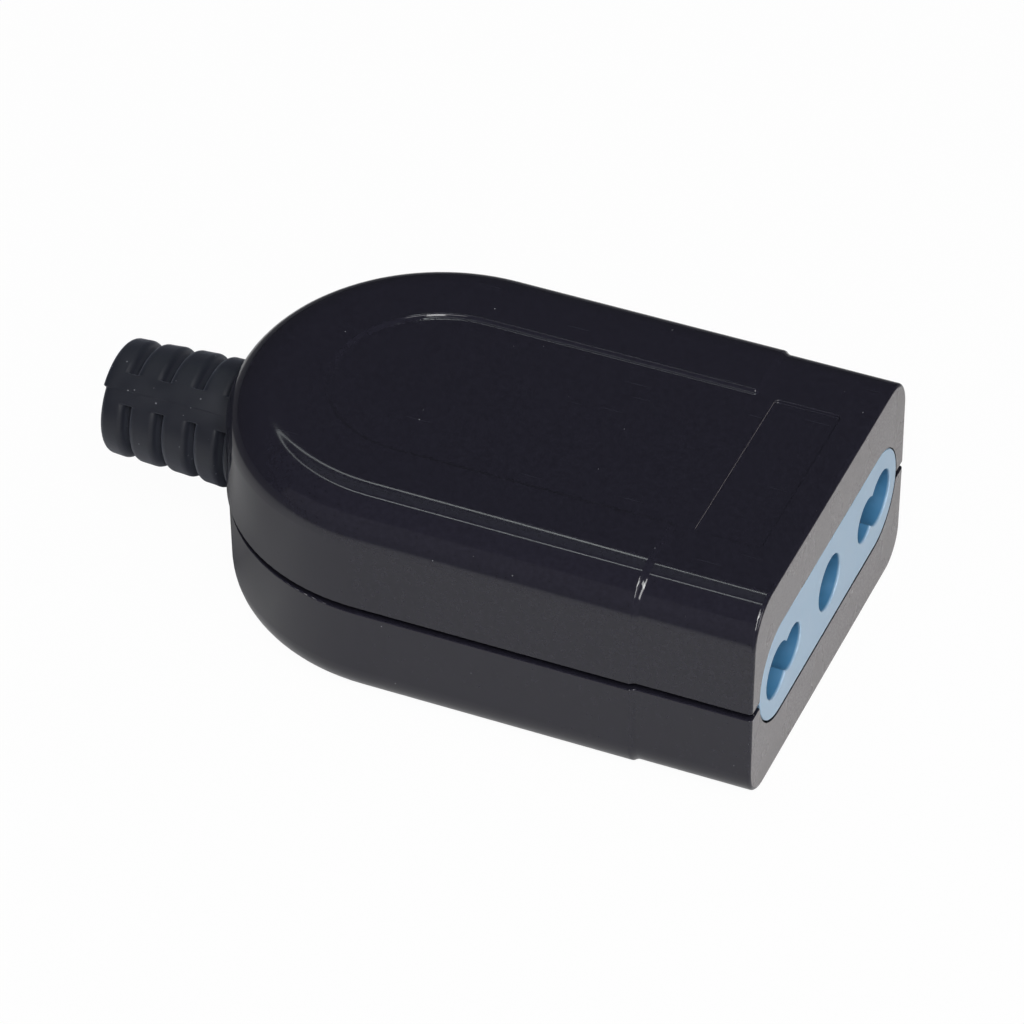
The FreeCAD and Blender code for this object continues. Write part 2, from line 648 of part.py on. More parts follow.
def boot_groove(x):
    """Cutter for one groove: a narrow slot with rounded lips, swept round from web to web."""
    half = BOOT_GROOVE_WIDTH / 2
    depth_r = bore_r + BOOT_SKIN
    above = boot_root_r + OVERSHOOT
    bend = BOOT_GROOVE_FLARE * (1 - math.sqrt(0.5))
    lips = []
    for side in SIDES:
        wall_x = x + side * half
        lip_x = wall_x + side * BOOT_GROOVE_FLARE
        lip_r = boot_radius(lip_x)
        wall = Vector(wall_x, 0, lip_r - BOOT_GROOVE_FLARE)
        middle = Vector(wall_x + side * bend, 0, lip_r - bend)
        foot = Vector(wall_x, 0, depth_r)
        lips.append((Vector(lip_x, 0, above), Vector(lip_x, 0, lip_r), middle, wall, foot))
    back, front = lips
    edges = []
    for top, lip, middle, wall, foot in lips:
        edges += [Part.makeLine(top, lip), Part.Arc(lip, middle, wall).toShape(), Part.makeLine(wall, foot)]
    edges += [Part.makeLine(back[0], front[0]), Part.makeLine(back[-1], front[-1])]
    section = Part.Face(Part.Wire(Part.__sortEdges__(edges)))
    return section.revolve(CENTRE, X_AXIS, 180.0 - BOOT_WEB_DEGREES)


def boot():
    """Rubber boot: flange inside the case, neck through the wall, ribbed sleeve outside."""
    flange_front = boot_seat_x + BOOT_FLANGE
    outline = [
        (boot_end_x, bore_r), (boot_end_x, boot_end_r), (-BODY_LENGTH, boot_root_r),
        (boot_seat_x, boot_root_r), (boot_seat_x, boot_flange_r),
        (flange_front, boot_flange_r), (flange_front, bore_r), (boot_end_x, bore_r),
    ]
    profile = Part.makePolygon([Vector(x, 0, r) for x, r in outline])
    sleeve = Part.Face(profile).revolve(CENTRE, X_AXIS, 360.0)
    rim = [e for e in edges_where(sleeve, lambda p: close(p.x, boot_end_x))
           if close(e.BoundBox.XLength, 0) and e.BoundBox.YLength > bore_r + boot_end_r]
    sleeve = sleeve.makeFillet(BOOT_END_ROUND, rim)
    # A section drawn straight up is turned about X to start where a web ends
    first_turn = BOOT_TURN_DEGREES - 90.0 + BOOT_WEB_DEGREES / 2
    for number in range(BOOT_GROOVES):
        cutter = boot_groove(boot_end_x + BOOT_END_RIB + number * BOOT_GROOVE_PITCH)
        for half_turn in (0.0, 180.0):
            turned = cutter.copy()
            turned.rotate(CENTRE, X_AXIS, first_turn + half_turn)
            sleeve = sleeve.cut(turned)
    sleeve.translate(Vector(0, 0, BOOT_AXIS))
    return sleeve.removeSplitter()


def export(name, shape):
    """Move a piece so that the origin lies under the middle of the object, and write it."""
    shape.translate(Vector((BODY_LENGTH + BOOT_REACH) / 2, 0, -underside))
    shape.exportStep("parts/%s.step" % name)


os.makedirs("parts", exist_ok=True)
export("upper_shell", upper_shell())
export("lower_shell", lower_shell())
export("contact_block", contact_block())
export("shutter", shutter())
export("shutter_springs", shutter_springs())
export("line_clip", outer_clip(-1))
export("earth_clip", earth_clip())
export("neutral_clip", outer_clip(1))
export("line_terminal", outer_terminal(-1))
export("earth_terminal", earth_terminal())
export("neutral_terminal", outer_terminal(1))
export("terminal_screws", terminal_screws())
export("case_screws", case_screws())
export("cord_clamp", cord_clamp())
export("clamp_screws", clamp_screws())
export("boot", boot())
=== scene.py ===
"""Looks of the in-line power socket: a glossy black case, a pale blue socket face and a ribbed rubber boot.

Sizes of pieces and patterns are millimetres in the part's own frame: X points out of the socket face,
Y runs along the row of pin holes and Z is up. Meshes are written in metres, and the floor, the lamps and
the ring are given in metres.
"""

import math

import bpy
import numpy as np
from mathutils import Matrix, Vector


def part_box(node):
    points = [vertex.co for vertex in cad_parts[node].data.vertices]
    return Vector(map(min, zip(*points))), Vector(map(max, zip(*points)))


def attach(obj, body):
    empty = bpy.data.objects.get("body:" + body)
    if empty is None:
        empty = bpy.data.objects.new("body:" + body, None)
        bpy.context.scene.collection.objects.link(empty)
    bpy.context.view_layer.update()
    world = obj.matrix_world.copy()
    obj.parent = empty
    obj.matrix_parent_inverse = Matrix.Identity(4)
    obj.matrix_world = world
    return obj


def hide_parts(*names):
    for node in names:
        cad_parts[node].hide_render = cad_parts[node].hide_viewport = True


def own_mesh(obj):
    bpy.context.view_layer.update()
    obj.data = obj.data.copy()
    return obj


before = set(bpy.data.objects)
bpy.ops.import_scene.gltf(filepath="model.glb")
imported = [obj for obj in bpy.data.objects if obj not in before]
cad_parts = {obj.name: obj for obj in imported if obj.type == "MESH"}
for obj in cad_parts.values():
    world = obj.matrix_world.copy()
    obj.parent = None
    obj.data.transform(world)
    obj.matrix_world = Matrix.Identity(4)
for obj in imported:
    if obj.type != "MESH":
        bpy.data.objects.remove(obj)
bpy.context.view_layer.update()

MM = 0.001


def box_mm(node):
    """Low and high corner of one CAD node, in millimetres."""
    low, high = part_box(node)
    return low / MM, high / MM


boot_low, boot_high = box_mm("boot")
block_low, block_high = box_mm("contact_block")
spring_low, spring_high = box_mm("shutter_springs")


def linear(colour):
    """Linear colour with alpha from an sRGB hex value, by the standard transfer curve."""
    parts = [int(colour[i:i + 2], 16) / 255 for i in (1, 3, 5)]
    return [c / 12.92 if c <= 0.04045 else ((c + 0.055) / 1.055) ** 2.4 for c in parts] + [1.0]


def per(size):
    """Texture scale that makes one feature as large as a size in millimetres."""
    return 1.0 / (size * MM)


def add(tree, kind, inputs=None, **settings):
    """Add one node: settings go on the node, inputs go on its sockets as values or as links."""
    made = tree.nodes.new(kind)
    for name, value in settings.items():
        setattr(made, name, value)
    for name, value in (inputs or {}).items():
        if isinstance(value, bpy.types.NodeSocket):
            tree.links.new(value, made.inputs[name])
        else:
            made.inputs[name].default_value = value
    return made


def empty_tree(owner):
    """Node tree of a material or world, with nothing in it."""
    owner.use_nodes = True
    owner.node_tree.nodes.clear()
    return owner.node_tree


def new_material(name):
    """Material with a bare shader: returns the material, its tree, the shader and Object coordinates."""
    material = bpy.data.materials.new(name)
    tree = empty_tree(material)
    shader = add(tree, "ShaderNodeBsdfPrincipled")
    add(tree, "ShaderNodeOutputMaterial", {"Surface": shader.outputs["BSDF"]})
    place = add(tree, "ShaderNodeTexCoord").outputs["Object"]
    return material, tree, shader, place


def dress(tree, shader, colour, roughness, normal):
    """Link a colour, a roughness and a normal to the shader."""
    for name, source in (("Base Color", colour), ("Roughness", roughness), ("Normal", normal)):
        tree.links.new(source, shader.inputs[name])


# Materials

# Noise mostly gives values in this span
NOISE_SPAN = {"From Min": 0.3, "From Max": 0.7}
PLASTIC_IOR = 1.5
RUBBER_IOR = 1.52

# Dust: share of places that hold none
DUST_BARE = 0.65
# Hairline scratches: length, width, depth of the cell that holds one, and the share of cells that hold none
SCRATCH_LENGTH = 6.0
SCRATCH_WIDTH = 0.12
SCRATCH_CELL = 1.2
SCRATCH_BARE = 0.99
# How far a hairline reaches from its middle, as a share of its cell
SCRATCH_REACH = 0.22


def dust_mask(tree, place, spacing, radius):
    """Mask of round grains about scattered points, up to a radius, in about a third of the cells."""
    cells = add(tree, "ShaderNodeTexVoronoi", {"Vector": place, "Scale": per(spacing)})
    pick = add(tree, "ShaderNodeSeparateColor", {"Color": cells.outputs["Color"]})
    size = add(tree, "ShaderNodeMapRange", {
        "Value": pick.outputs["Red"], "From Min": DUST_BARE, "From Max": 1.0,
        "To Min": 0.0, "To Max": radius / spacing})
    return add(tree, "ShaderNodeMath", {0: cells.outputs["Distance"], 1: size.outputs["Result"]},
               operation="LESS_THAN").outputs["Value"]


def scratch_mask(tree, place, turn, share):
    """Mask of short straight hairlines: scattered points stretched along one direction, only a few kept."""
    turned = add(tree, "ShaderNodeMapping", {
        "Vector": place, "Rotation": (0.0, 0.0, math.radians(turn)),
        "Scale": (per(SCRATCH_LENGTH), per(SCRATCH_WIDTH), per(SCRATCH_CELL))})
    cells = add(tree, "ShaderNodeTexVoronoi", {"Vector": turned.outputs["Vector"], "Scale": 1.0})
    pick = add(tree, "ShaderNodeSeparateColor", {"Color": cells.outputs["Color"]})
    kept = add(tree, "ShaderNodeMath", {0: pick.outputs["Green"], 1: share}, operation="GREATER_THAN")
    near = add(tree, "ShaderNodeMath", {0: cells.outputs["Distance"], 1: SCRATCH_REACH},
               operation="LESS_THAN")
    return add(tree, "ShaderNodeMath", {0: kept.outputs["Value"], 1: near.outputs["Value"]},
               operation="MULTIPLY").outputs["Value"]


# Case: how squarely a face looks along X to be the end face, and along Z to be a flat
END_FACE_SPAN = {"From Min": 0.93, "From Max": 0.99}
FLAT_TOP_SPAN = {"From Min": 0.97, "From Max": 0.99}
# Dust is drawn a pixel or two wide so that it shows; real grains are finer
CASE_DUST_SPACING = 1.25
CASE_DUST_RADIUS = 0.07
SCRATCH_TURNS = (17.0, -64.0)
FLECK_SIZE = 0.45
CLOUD_SIZE = 9.0
WAVE_SIZE = 7.0
WAVE_HEIGHT = 0.03
WAVE_STRENGTH = 0.2
# The end face's grain is drawn coarser than real so that it shows
END_GRAIN_SIZE = 0.2
END_GRAIN_HEIGHT = 0.012
END_GRAIN_STRENGTH = 0.15
# Roughness of the polish, and what the end face and the dust add to it
CASE_ROUGHNESS = {"To Min": 0.06, "To Max": 0.09}
END_FACE_ROUGHER = 0.2
DUST_ROUGHER = 0.5


def gloss_black_abs():
    """ABS from a polished mould: deep blue-black, sharp mirror lines on its rounds, faint waves from
    shrinkage, dust, a few hairlines on the flats, and a satin grain on the end face, whose lighter grey is
    partly a painted reflection of the bright floor."""
    material, tree, shader, place = new_material("gloss_black_abs")
    normal = add(tree, "ShaderNodeNewGeometry").outputs["Normal"]
    facing = add(tree, "ShaderNodeSeparateXYZ", {"Vector": normal})
    end_face = add(tree, "ShaderNodeMapRange",
                   {"Value": facing.outputs["X"], **END_FACE_SPAN}).outputs["Result"]
    flat_top = add(tree, "ShaderNodeMapRange",
                   {"Value": facing.outputs["Z"], **FLAT_TOP_SPAN}).outputs["Result"]
    grains = dust_mask(tree, place, CASE_DUST_SPACING, CASE_DUST_RADIUS)
    dust = add(tree, "ShaderNodeMath", {0: grains, 1: end_face}, operation="SUBTRACT",
               use_clamp=True).outputs["Value"]
    one_way, other_way = (scratch_mask(tree, place, turn, SCRATCH_BARE) for turn in SCRATCH_TURNS)
    crossed = add(tree, "ShaderNodeMath", {0: one_way, 1: other_way}, operation="MAXIMUM")
    marks = add(tree, "ShaderNodeMath", {0: crossed.outputs["Value"], 1: flat_top}, operation="MULTIPLY")

    fleck = add(tree, "ShaderNodeTexNoise", {"Vector": place, "Scale": per(FLECK_SIZE), "Detail": 4.0})
    grain = add(tree, "ShaderNodeTexNoise", {"Vector": place, "Scale": per(END_GRAIN_SIZE), "Detail": 2.0})
    body = add(tree, "ShaderNodeMix", {
        "Factor": fleck.outputs["Fac"], "A": linear("#191820"), "B": linear("#26252f")}, data_type="RGBA")
    # Painted reflection and satin: the end face's light grey stands partly for the bright floor it mirrors at a
    # grazing angle, partly for its satin grain
    end_grey_and_painted_reflection = add(tree, "ShaderNodeMix", {
        "Factor": grain.outputs["Fac"], "A": linear("#555051"), "B": linear("#948f90")}, data_type="RGBA")
    ended = add(tree, "ShaderNodeMix", {
        "Factor": end_face, "A": body.outputs["Result"], "B": end_grey_and_painted_reflection.outputs["Result"]}, data_type="RGBA")
    scuffed = add(tree, "ShaderNodeMix", {
        "Factor": marks.outputs["Value"], "A": ended.outputs["Result"], "B": linear("#2f3038")},
        data_type="RGBA")
    dusty = add(tree, "ShaderNodeMix", {
        "Factor": dust, "A": scuffed.outputs["Result"], "B": linear("#77797d")}, data_type="RGBA")

    cloud = add(tree, "ShaderNodeTexNoise", {"Vector": place, "Scale": per(CLOUD_SIZE), "Detail": 3.0})
    polish = add(tree, "ShaderNodeMapRange",
                 {"Value": cloud.outputs["Fac"], **NOISE_SPAN, **CASE_ROUGHNESS})
    satin = add(tree, "ShaderNodeMath", {0: end_face, 1: END_FACE_ROUGHER, 2: polish.outputs["Result"]},
                operation="MULTIPLY_ADD")
    dull = add(tree, "ShaderNodeMath", {0: dust, 1: DUST_ROUGHER, 2: satin.outputs["Value"]},
               operation="MULTIPLY_ADD")

    waves = add(tree, "ShaderNodeTexNoise", {"Vector": place, "Scale": per(WAVE_SIZE), "Detail": 1.0})
    sunk = add(tree, "ShaderNodeBump", {
        "Height": waves.outputs["Fac"], "Strength": WAVE_STRENGTH, "Distance": WAVE_HEIGHT * MM})
    end_grain = add(tree, "ShaderNodeMath", {0: grain.outputs["Fac"], 1: end_face}, operation="MULTIPLY")
    rough = add(tree, "ShaderNodeBump", {
        "Height": end_grain.outputs["Value"], "Strength": END_GRAIN_STRENGTH,
        "Distance": END_GRAIN_HEIGHT * MM, "Normal": sunk.outputs["Normal"]})
    dress(tree, shader, dusty.outputs["Result"], dull.outputs["Value"], rough.outputs["Normal"])
    shader.inputs["IOR"].default_value = PLASTIC_IOR
    return material


# Skin of the satin mouldings and metals: height and strength of its relief
SKIN_HEIGHT = 0.01
SKIN_STRENGTH = 0.3
# Blue plastic: how far behind its face it is painted a deeper blue, as painted shade inside the holes
HOLE_SHADE_FROM = 0.05
HOLE_SHADE_TO = 0.3
BLUE_CLOUD_SIZE = 3.0
BLUE_GRAIN_SIZE = 0.25
BLUE_ROUGHNESS = {"To Min": 0.30, "To Max": 0.42}
# Rubbed places: their size along each axis, the noise values that count, and how strong they get
SCUFF_SIZES = (0.5, 0.5, 2.4)
SCUFF_SPAN = {"From Min": 0.62, "From Max": 0.78, "To Max": 0.35}


def pale_blue_polyamide():
    """Polyamide moulded in pale blue: satin, mottled, scuffed where plugs rub it, and painted a deeper blue
    behind its face, as shade inside the holes."""
    material, tree, shader, place = new_material("pale_blue_polyamide")
    along = add(tree, "ShaderNodeSeparateXYZ", {"Vector": place}).outputs["X"]
    # Painted shade: the blue darkens from a little behind the face, inside the holes
    deep = add(tree, "ShaderNodeMapRange", {
        "Value": along, "From Min": (block_high.x - HOLE_SHADE_FROM) * MM,
        "From Max": (block_high.x - HOLE_SHADE_TO) * MM}).outputs["Result"]
    cloud = add(tree, "ShaderNodeTexNoise", {"Vector": place, "Scale": per(BLUE_CLOUD_SIZE), "Detail": 4.0})
    body = add(tree, "ShaderNodeMix", {
        "Factor": cloud.outputs["Fac"], "A": linear("#9fbad2"), "B": linear("#acc5d9")}, data_type="RGBA")
    rub = add(tree, "ShaderNodeMapping", {"Vector": place, "Scale": [per(size) for size in SCUFF_SIZES]})
    scuff = add(tree, "ShaderNodeTexNoise", {"Vector": rub.outputs["Vector"], "Scale": 1.0, "Detail": 3.0})
    worn = add(tree, "ShaderNodeMapRange", {"Value": scuff.outputs["Fac"], **SCUFF_SPAN})
    rubbed = add(tree, "ShaderNodeMix", {
        "Factor": worn.outputs["Result"], "A": body.outputs["Result"], "B": linear("#bfd0df")},
        data_type="RGBA")
    # Painted shade: the deep blue of the holes' walls
    colour = add(tree, "ShaderNodeMix", {
        "Factor": deep, "A": rubbed.outputs["Result"], "B": linear("#41759b")}, data_type="RGBA")
    gloss = add(tree, "ShaderNodeMapRange",
                {"Value": cloud.outputs["Fac"], **NOISE_SPAN, **BLUE_ROUGHNESS})
    grain = add(tree, "ShaderNodeTexNoise", {"Vector": place, "Scale": per(BLUE_GRAIN_SIZE), "Detail": 2.0})
    skin = add(tree, "ShaderNodeBump", {
        "Height": grain.outputs["Fac"], "Strength": SKIN_STRENGTH, "Distance": SKIN_HEIGHT * MM})
    dress(tree, shader, colour.outputs["Result"], gloss.outputs["Result"], skin.outputs["Normal"])
    shader.inputs["IOR"].default_value = PLASTIC_IOR
    return material


BLOOM_SIZE = 2.5
# Dust is drawn a pixel or two wide so that it shows; real grains are finer
RUBBER_DUST_SPACING = 0.6
RUBBER_DUST_RADIUS = 0.085
RUBBER_ROUGHNESS = {"To Min": 0.38, "To Max": 0.5}
RUBBER_GRAIN_SIZE = 0.28
RUBBER_GRAIN_HEIGHT = 0.02
RUBBER_GRAIN_STRENGTH = 0.5
RUBBER_SPECULAR = 0.45
RUBBER_SHEEN = 0.14
RUBBER_SHEEN_ROUGHNESS = 0.5


def moulded_rubber():
    """Soft black rubber from a plain steel mould: dull, with a grey bloom that pales it towards its edges,
    fine grain, and dust that clings."""
    material, tree, shader, place = new_material("moulded_rubber")
    bloom = add(tree, "ShaderNodeTexNoise", {"Vector": place, "Scale": per(BLOOM_SIZE), "Detail": 5.0})
    body = add(tree, "ShaderNodeMix", {
        "Factor": bloom.outputs["Fac"], "A": linear("#15171f"), "B": linear("#1f2129")}, data_type="RGBA")
    dust = dust_mask(tree, place, RUBBER_DUST_SPACING, RUBBER_DUST_RADIUS)
    colour = add(tree, "ShaderNodeMix", {
        "Factor": dust, "A": body.outputs["Result"], "B": linear("#75777c")}, data_type="RGBA")
    dull = add(tree, "ShaderNodeMapRange",
               {"Value": bloom.outputs["Fac"], **NOISE_SPAN, **RUBBER_ROUGHNESS})
    grain = add(tree, "ShaderNodeTexNoise",
                {"Vector": place, "Scale": per(RUBBER_GRAIN_SIZE), "Detail": 3.0})
    skin = add(tree, "ShaderNodeBump", {
        "Height": grain.outputs["Fac"], "Strength": RUBBER_GRAIN_STRENGTH,
        "Distance": RUBBER_GRAIN_HEIGHT * MM})
    dress(tree, shader, colour.outputs["Result"], dull.outputs["Result"], skin.outputs["Normal"])
    shader.inputs["IOR"].default_value = RUBBER_IOR
    shader.inputs["Specular IOR Level"].default_value = RUBBER_SPECULAR
    shader.inputs["Sheen Weight"].default_value = RUBBER_SHEEN
    shader.inputs["Sheen Roughness"].default_value = RUBBER_SHEEN_ROUGHNESS
    shader.inputs["Sheen Tint"].default_value = linear("#d4dcf4")
    return material


TARNISH_SIZE = 1.8
MOULDING_CLOUD_SIZE = 2.0
MOULDING_GRAIN_SIZE = 0.2


def metal(name, dark, light, smooth, coarse, streak):
    """Bare metal: base colour between two tones, with fine drawing or turning streaks in its gloss."""
    material, tree, shader, place = new_material(name)
    stretch = add(tree, "ShaderNodeMapping", {"Vector": place, "Scale": [per(size) for size in streak]})
    lines = add(tree, "ShaderNodeTexNoise",
                {"Vector": stretch.outputs["Vector"], "Scale": 1.0, "Detail": 3.0})
    tarnish = add(tree, "ShaderNodeTexNoise", {"Vector": place, "Scale": per(TARNISH_SIZE), "Detail": 4.0})
    colour = add(tree, "ShaderNodeMix", {
        "Factor": tarnish.outputs["Fac"], "A": linear(dark), "B": linear(light)}, data_type="RGBA")
    gloss = add(tree, "ShaderNodeMapRange", {
        "Value": lines.outputs["Fac"], **NOISE_SPAN, "To Min": smooth, "To Max": coarse})
    skin = add(tree, "ShaderNodeBump", {
        "Height": lines.outputs["Fac"], "Strength": SKIN_STRENGTH, "Distance": SKIN_HEIGHT * MM})
    dress(tree, shader, colour.outputs["Result"], gloss.outputs["Result"], skin.outputs["Normal"])
    shader.inputs["Metallic"].default_value = 1.0
    return material


def plain_moulding(name, dark, light, smooth, coarse):
    """Inner moulding: two close tones in soft clouds and a fine spark-eroded grain."""
    material, tree, shader, place = new_material(name)
    cloud = add(tree, "ShaderNodeTexNoise",
                {"Vector": place, "Scale": per(MOULDING_CLOUD_SIZE), "Detail": 3.0})
    colour = add(tree, "ShaderNodeMix", {
        "Factor": cloud.outputs["Fac"], "A": linear(dark), "B": linear(light)}, data_type="RGBA")
    gloss = add(tree, "ShaderNodeMapRange", {
        "Value": cloud.outputs["Fac"], **NOISE_SPAN, "To Min": smooth, "To Max": coarse})
    grain = add(tree, "ShaderNodeTexNoise",
                {"Vector": place, "Scale": per(MOULDING_GRAIN_SIZE), "Detail": 2.0})
    skin = add(tree, "ShaderNodeBump", {
        "Height": grain.outputs["Fac"], "Strength": SKIN_STRENGTH, "Distance": SKIN_HEIGHT * MM})
    dress(tree, shader, colour.outputs["Result"], gloss.outputs["Result"], skin.outputs["Normal"])
    return material


# Inner finishes: two tones, least and greatest roughness and, for a metal, the streaks' size along each axis
case_black = gloss_black_abs()
face_blue = pale_blue_polyamide()
boot_black = moulded_rubber()
shutter_white = plain_moulding("white_acetal", "#dfe0da", "#eceae3", 0.32, 0.42)
clamp_black = plain_moulding("glass_filled_polyamide", "#1b1b1d", "#26262a", 0.45, 0.6)
clip_bronze = metal("drawn_bronze", "#a9794e", "#bf8c5c", 0.22, 0.36, (4.0, 0.15, 0.15))
terminal_brass = metal("turned_brass", "#b8984f", "#cdb069", 0.18, 0.32, (0.1, 3.0, 3.0))
screw_steel = metal("zinc_plated_steel", "#a9abad", "#c3c5c4", 0.24, 0.38, (2.5, 0.12, 2.5))
spring_steel = metal("spring_steel", "#8c8e91", "#a5a7aa", 0.2, 0.3, (0.1, 0.1, 0.1))

for node, finish in {
    "upper_shell": case_black, "lower_shell": case_black,
    "contact_block": face_blue, "shutter": shutter_white, "cord_clamp": clamp_black,
    "line_clip": clip_bronze, "earth_clip": clip_bronze, "neutral_clip": clip_bronze,
    "line_terminal": terminal_brass, "earth_terminal": terminal_brass, "neutral_terminal": terminal_brass,
    "terminal_screws": screw_steel, "case_screws": screw_steel, "clamp_screws": screw_steel,
}.items():
    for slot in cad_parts[node].material_slots:
        slot.material = finish


# New pieces

def grid_faces(rows, columns, wrap_rows, wrap_columns):
    """Quads of a grid of points: one point, its neighbours and the one across, wrapped where closed."""
    i = np.arange(rows if wrap_rows else rows - 1)[:, None]
    j = np.arange(columns if wrap_columns else columns - 1)[None, :]
    i2, j2 = (i + 1) % rows, (j + 1) % columns
    corners = [i * columns + j, i * columns + j2, i2 * columns + j2, i2 * columns + j]
    return np.stack(corners, axis=-1).reshape(-1, 4)


def mesh_piece(name, points, faces, material, sharp_degrees):
    """Object at the origin from points in millimetres, smooth but for edges sharper than an angle."""
    mesh = bpy.data.meshes.new(name)
    mesh.from_pydata((points.reshape(-1, 3) * MM).tolist(), [], [list(face) for face in faces])
    mesh.polygons.foreach_set("use_smooth", np.ones(len(mesh.polygons), dtype=bool))
    mesh.set_sharp_from_angle(angle=math.radians(sharp_degrees))
    mesh.materials.append(material)
    piece = bpy.data.objects.new(name, mesh)
    bpy.context.scene.collection.objects.link(piece)
    return piece


# Boot: its ends and the flange's radius come from the CAD node
BOOT_WALL_X = -22.35
BOOT_SEAT_X = -17.85
BORE_RADIUS = 3.9
BOOT_END_RADIUS = 5.48
BOOT_ROOT_RADIUS = 6.08
END_ROUND = 0.7
# Broken edges: the bore's mouth and the flange's rim, each with a point between
MOUTH_BREAK = 0.3
MOUTH_MIDDLE = 0.08
FLANGE_BREAK = 0.3
FLANGE_MIDDLE = 0.06
# Rows of points along the sleeve, the neck and the bore
SLEEVE_ROWS = 34
NECK_ROWS_X = (-21.6, -20.5, -19.2)
BORE_ROWS_X = (-20.0, -25.0, -30.0)
ROUND_ROWS = 8
LIP_ROWS = 7

GROOVE_COUNT = 4
GROOVE_PITCH = 3.34
END_RIB = 2.67
GROOVE_FLOOR_RADIUS = 4.35
GROOVE_HALF = 0.29
GROOVE_LIP = 0.68
GROOVE_WALL_LEAN = 0.05
GROOVE_FLOOR_ROW = 0.15
GROOVE_END_LIP = 0.2
WEB_DEGREES = 132.5
WEB_HALF_DEGREES = 16.5

# Parting of the mould: its place, the ragged flash on it, and how the lower half sits off the upper one
SEAM_DEGREES = 134.5
FLASH_HEIGHT = 0.05
FLASH_WIDTH = 0.07
FLASH_FADE = 1.5
HALF_STEP = 0.28
HALF_SHRINK = 0.04
HALF_FADE = 2.0
HALF_SHARPNESS = 120.0
# Uneven rubber: waves in its radius, and its sag at places along X
UNEVEN = 0.015
SAG_X = (boot_low.x, -30.5, -25.9, BOOT_WALL_X, BOOT_SEAT_X)
SAG_Z = (-0.02, 0.06, 0.2, 0.08, 0.0)
# Steps round the boot in degrees: evenly, and finer about each groove's ends and about the parting
TURN_STEP = 2.0
TURN_LEAST = 0.12
GROOVE_END_TURNS = np.array([-4.0, -2.8, -1.8, -1.0, -0.5, -0.2, 0.05, 0.4, 0.9, 1.6, 2.4, 3.2, 4.0])
SEAM_TURNS = np.array([-2.2, -1.5, -1.0, -0.7, -0.45, -0.2, 0.0, 0.2, 0.45, 0.7, 1.0, 1.5, 2.2])
HALF_TURNS = (0.0, 180.0)

boot_axis_z = (boot_low.z + boot_high.z) / 2
flange_radius = (boot_high.y - boot_low.y) / 2


def groove_depth(x, angle, radius):
    """Depth of the grooves below the sleeve: for each, the distance outside its rounded rectangle in the
    unrolled sleeve; inside it full depth, then a leaning wall, then a lip that is a quarter circle."""
    depth = np.zeros(np.broadcast(x, angle).shape)
    for number in range(GROOVE_COUNT):
        centre = boot_low.x + END_RIB + number * GROOVE_PITCH
        across = np.abs(x - centre) - GROOVE_HALF
        for side in HALF_TURNS:
            turn = (angle - WEB_DEGREES - 90.0 - side + 180.0) % 360.0 - 180.0
            arc = np.radians(np.abs(turn) - 90.0 + WEB_HALF_DEGREES) * radius
            along = arc * GROOVE_LIP / GROOVE_END_LIP
            outside = np.hypot(np.maximum(across, 0.0), np.maximum(along, 0.0))
            inside = np.minimum(np.maximum(across, along), 0.0)
            gap = np.clip(GROOVE_LIP - outside, 0.0, GROOVE_LIP)
            lip = GROOVE_LIP - np.sqrt(GROOVE_LIP ** 2 - gap ** 2)
            wall = np.clip(-inside / GROOVE_WALL_LEAN, 0.0, 1.0)
            full = radius - GROOVE_FLOOR_RADIUS
            depth = np.maximum(depth, lip + (full - lip) * wall)
    return depth


def sleeve_rows():
    """Places along the sleeve: even rows, and finer ones across each groove's floor, walls and lips."""
    lip = GROOVE_HALF + GROOVE_LIP * (1 - np.cos(np.linspace(0.0, np.pi / 2, LIP_ROWS)))
    wall = [GROOVE_FLOOR_ROW, GROOVE_HALF - GROOVE_WALL_LEAN, GROOVE_HALF - GROOVE_WALL_LEAN / 2]
    half_cut = np.concatenate([wall, lip])
    cut = np.concatenate([-half_cut[::-1], half_cut])
    centres = boot_low.x + END_RIB + GROOVE_PITCH * np.arange(GROOVE_COUNT)
    first = boot_low.x + END_ROUND
    even = np.concatenate([np.linspace(first, BOOT_WALL_X, SLEEVE_ROWS), NECK_ROWS_X, [BOOT_SEAT_X]])
    rows = np.unique(np.round(np.concatenate([(centres[:, None] + cut).ravel(), even]), 4))
    return rows[(rows >= first) & (rows <= BOOT_SEAT_X)]


def turns_round():
    """Angles round the boot: even steps, and finer ones at the parting and at the ends of the grooves."""
    turns = [np.arange(0.0, 360.0, TURN_STEP)]
    for side in HALF_TURNS:
        turns += [SEAM_DEGREES + side + SEAM_TURNS,
                  WEB_DEGREES + side - WEB_HALF_DEGREES - GROOVE_END_TURNS,
                  WEB_DEGREES + side + WEB_HALF_DEGREES + GROOVE_END_TURNS]
    angle = np.unique(np.round(np.concatenate(turns) % 360.0, 3))
    return angle[np.concatenate([[True], np.diff(angle) > TURN_LEAST])][None, :]


